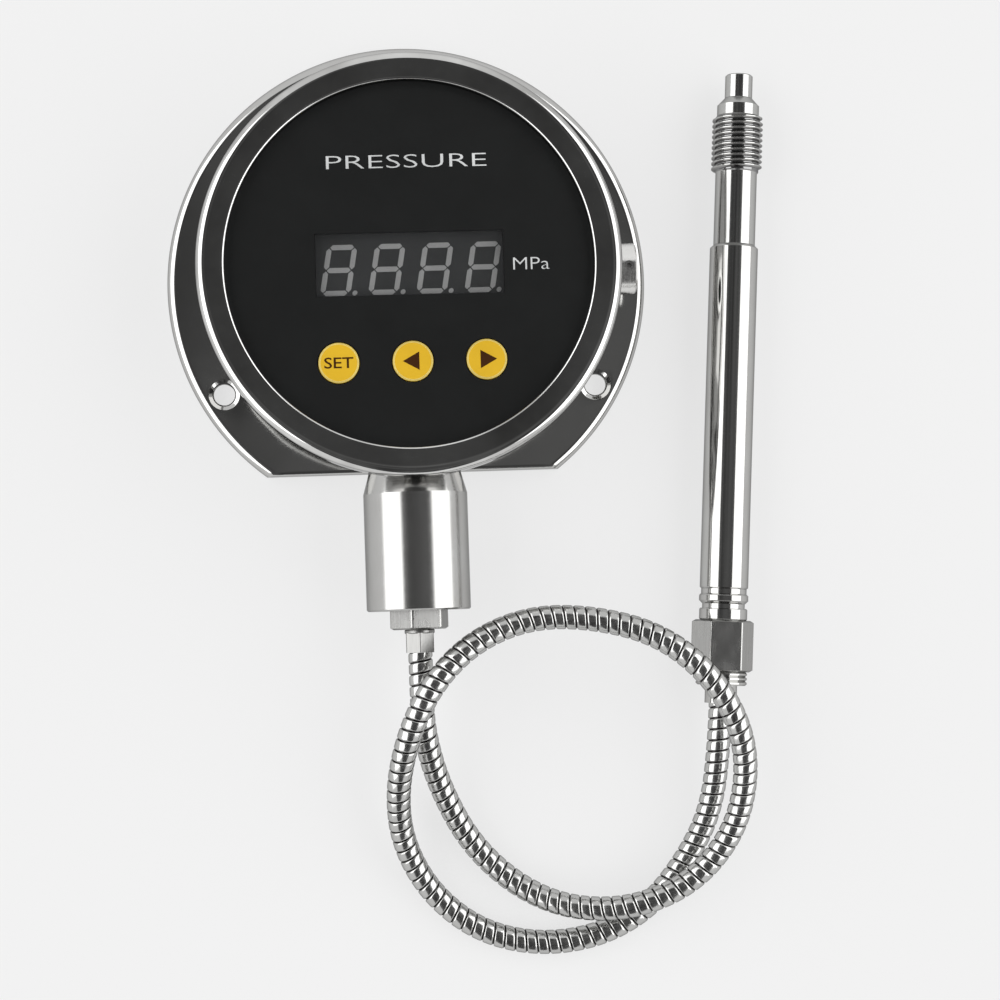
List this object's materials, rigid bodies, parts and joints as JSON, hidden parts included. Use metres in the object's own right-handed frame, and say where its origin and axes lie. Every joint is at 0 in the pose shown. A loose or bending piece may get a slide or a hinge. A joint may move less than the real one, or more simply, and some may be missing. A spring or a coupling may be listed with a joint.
{
  "type": "digital pressure transmitter",
  "caption": "Round flange-mounted pressure transmitter with a digital display and push keys, a sensor neck, and a threaded probe on a flexible armoured hose.",
  "frame": {"origin": "centre of the mounting flange's seating plane, on the head's axis", "axes": "+Z out of the display, +Y to the top of the display, neck along -Y; hose and probe lie on the seating plane"},
  "size_m": [0.1661, 0.2511, 0.0417],
  "materials": {
    "polished_steel": "mirror-polished stainless sheet",
    "turned_steel": "fine-turned, satin-polished stainless",
    "hose_steel": "stripwound stainless, bright with dark seams",
    "screw_steel": "plain machined",
    "black_panel": "near-black satin film on a stiff panel",
    "window_acrylic": "clear smoked acrylic",
    "display_body": "dark grey moulding, unlit grey segments",
    "key_yellow": "semi-gloss yellow with a brown legend",
    "board_green": "green solder mask",
    "switch_black": "moulded",
    "terminal_green": "moulded",
    "brass_post": "plain turned",
    "tinned_pin": "tinned",
    "capacitor_can": "plain can",
    "seal_rubber": "plain"
  },
  "bodies": {
    "transmitter": {"rear_flange": "polished_steel", "case_pan": "polished_steel", "bezel_ring": "polished_steel", "bezel_gasket": "seal_rubber", "face_panel": "black_panel", "display_window": "window_acrylic", "display_module": "display_body", "display_pins": "tinned_pin", "display_board": "board_green", "switch_housings": "switch_black", "upper_posts": "brass_post", "lower_posts": "brass_post", "main_board": "board_green", "board_screws": "screw_steel", "board_header": "switch_black", "terminal_block": "terminal_green", "terminal_screws": "screw_steel", "processor_chip": "switch_black", "supply_capacitor": "capacitor_can", "neck_housing": "turned_steel", "sensor_capsule": "turned_steel", "capsule_seal": "seal_rubber", "capsule_retainer": "turned_steel", "neck_plug": "turned_steel", "neck_ferrule": "turned_steel", "cable_outlet": "polished_steel", "cable_bush": "seal_rubber", "outlet_set_screw": "screw_steel", "armored_hose": "hose_steel", "probe_ferrule": "turned_steel", "hose_adapter": "turned_steel", "probe_nut": "turned_steel", "end_fitting": "turned_steel", "probe_body": "turned_steel", "probe_tip": "turned_steel", "probe_diaphragm": "turned_steel"},
    "set_button": {"set_key": "key_yellow", "set_plunger": "switch_black"},
    "left_button": {"left_key": "key_yellow", "left_plunger": "switch_black"},
    "right_button": {"right_key": "key_yellow", "right_plunger": "switch_black"}
  },
  "joints": [
    {"name": "set_press", "type": "slide", "parent": "transmitter", "child": "set_button", "axis": [0, 0, -1], "range_m": [0, 0.0003], "stiffness_N_per_m": 6500},
    {"name": "left_press", "type": "slide", "parent": "transmitter", "child": "left_button", "axis": [0, 0, -1], "range_m": [0, 0.0003], "stiffness_N_per_m": 6500},
    {"name": "right_press", "type": "slide", "parent": "transmitter", "child": "right_button", "axis": [0, 0, -1], "range_m": [0, 0.0003], "stiffness_N_per_m": 6500}
  ]
}
